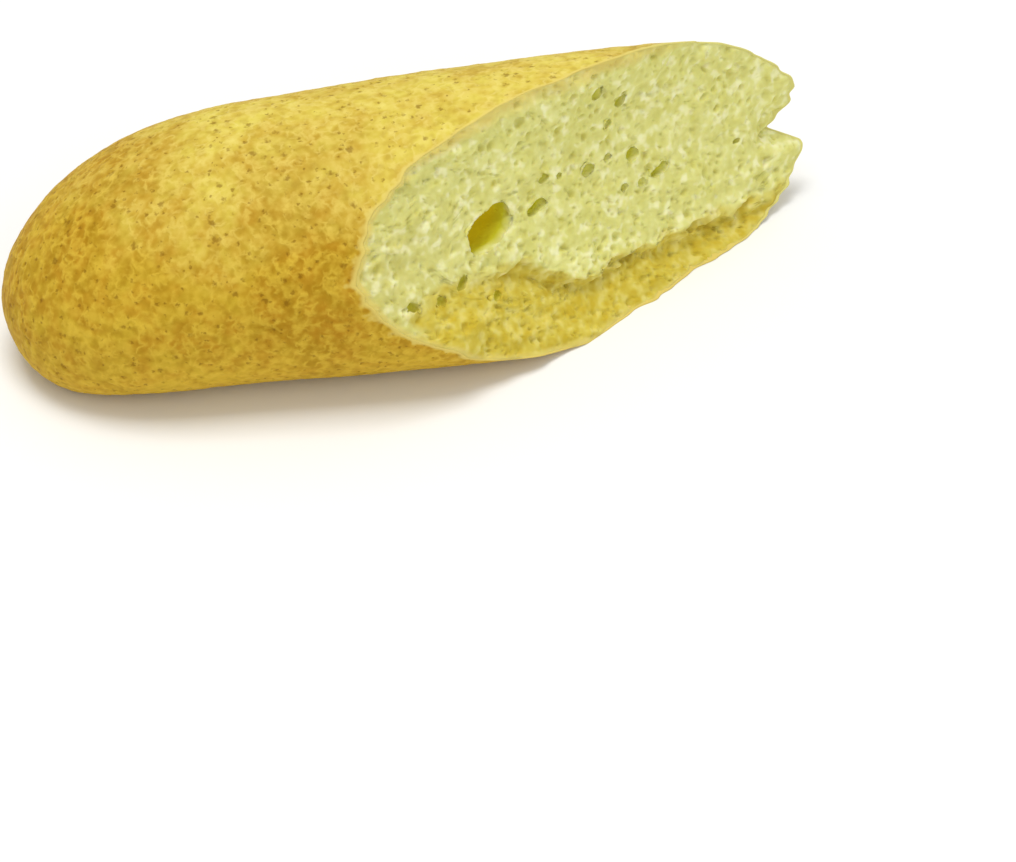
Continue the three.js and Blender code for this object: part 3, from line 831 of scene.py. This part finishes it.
rise = add(torn, "ShaderNodeMath", (pore, -PORE_DEPTH, rise), operation="MULTIPLY_ADD")
inside = add(torn, "GeometryNodeInputNamedAttribute", ("from_crust",), data_type="FLOAT")
ease = add(torn, "ShaderNodeMapRange", (inside, 0.0, CALM_BORDER, 0.0, 1.0))
rise = add(torn, "ShaderNodeMath", (rise, ease), operation="MULTIPLY")
hole = add(torn, "GeometryNodeInputNamedAttribute", ("hole",), data_type="FLOAT")
calm = add(torn, "ShaderNodeMapRange", (hole, 0.0, CALM_HOLE, 1.0, 0.5))
rise = add(torn, "ShaderNodeMath", (rise, calm), operation="MULTIPLY")
outwards = add(torn, "GeometryNodeInputNormal")
shift = add(torn, "ShaderNodeVectorMath", {0: outwards, "Scale": rise}, operation="SCALE")
opened = add(torn, "GeometryNodeSetPosition", {"Geometry": sizes["Geometry"], "Offset": shift})
pore_share = add(torn, "ShaderNodeMath", (pore, FULL_SHADE), operation="DIVIDE")
opened = add(torn, "GeometryNodeStoreNamedAttribute",
             {"Geometry": opened, "Name": "pore", "Value": pore_share}, data_type="FLOAT")
opened = add(torn, "GeometryNodeRealizeInstances", (opened,))
opened = add(torn, "GeometryNodeSetMaterial", {"Geometry": opened, "Material": soft_crumb})
torn.links.new(opened, add(torn, "NodeGroupOutput").inputs[0])

crumb = closed_skin("crumb", crumb_rings(), FACE_VALUES)
open_holes(crumb)
shape_by(crumb, torn, CRUMB_SIZES)
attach(crumb, "root")
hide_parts("half_baguette")

# ------------------------------------------------------------------ floor, light, camera
# A plain white table under soft light: a soft box straight above the loaf and a weaker one
# in front of it. The loaf is seen as by someone who stands at the table.

FLOOR_HALF = 3.0

corners = [(x * FLOOR_HALF, y * FLOOR_HALF, 0.0) for x, y in ((-1, -1), (1, -1), (1, 1), (-1, 1))]
floor_mesh = bpy.data.meshes.new("floor")
floor_mesh.from_pydata(corners, [], [(0, 1, 2, 3)])
floor = bpy.data.objects.new("floor", floor_mesh)
bpy.context.scene.collection.objects.link(floor)
white_table = bpy.data.materials.new("white_table")
white_table.use_nodes = True
table_shader = white_table.node_tree.nodes["Principled BSDF"]
table_shader.inputs["Base Color"].default_value = linear("#f4f4f2")
table_shader.inputs["Roughness"].default_value = 0.9
floor_mesh.materials.append(white_table)

world = bpy.data.worlds.new("soft_light")
world.use_nodes = True
sky = world.node_tree.nodes["Background"]
sky.inputs["Color"].default_value = linear("#ffffff")
sky.inputs["Strength"].default_value = 0.6
bpy.context.scene.world = world


def soft_box(name, place, size, power):
    """A square soft box at a place, turned towards the loaf."""
    light = bpy.data.lights.new(name, "AREA")
    light.shape = "SQUARE"
    light.size = size
    light.energy = power
    lamp = bpy.data.objects.new(name, light)
    lamp.location = place
    lamp.rotation_euler = (-Vector(place)).to_track_quat("-Z", "Y").to_euler()
    bpy.context.scene.collection.objects.link(lamp)


soft_box("key", (-0.15, 0.0, 1.3), size=0.6, power=9.6)
soft_box("fill", (0.6, -1.2, 0.9), size=0.9, power=3.6)

PICTURE_WIDTH = 1016
CAMERA_ELEVATION = math.radians(40.0)
CAMERA_TURN = math.radians(9.7)
CAMERA_DISTANCE = 744.0
LOOK_AT_FROM_TIP, LOOK_AT_ACROSS = 99.4, -42.2
MM_PER_PIXEL = 0.2051  # at the point looked at
SENSOR_WIDTH = 36.0

look_at = tip + Vector((LOOK_AT_FROM_TIP * MM, LOOK_AT_ACROSS * MM, 0.0))
forward = Vector((
    math.sin(CAMERA_TURN) * math.cos(CAMERA_ELEVATION),
    math.cos(CAMERA_TURN) * math.cos(CAMERA_ELEVATION),
    -math.sin(CAMERA_ELEVATION),
))
camera_data = bpy.data.cameras.new("camera")
camera_data.sensor_width = SENSOR_WIDTH
camera_data.lens = SENSOR_WIDTH * CAMERA_DISTANCE / (MM_PER_PIXEL * PICTURE_WIDTH)
camera = bpy.data.objects.new("camera", camera_data)
camera.location = look_at - forward * CAMERA_DISTANCE * MM
camera.rotation_euler = forward.to_track_quat("-Z", "Y").to_euler()
bpy.context.scene.collection.objects.link(camera)
bpy.context.scene.camera = camera
bpy.context.scene.view_settings.view_transform = "Standard"
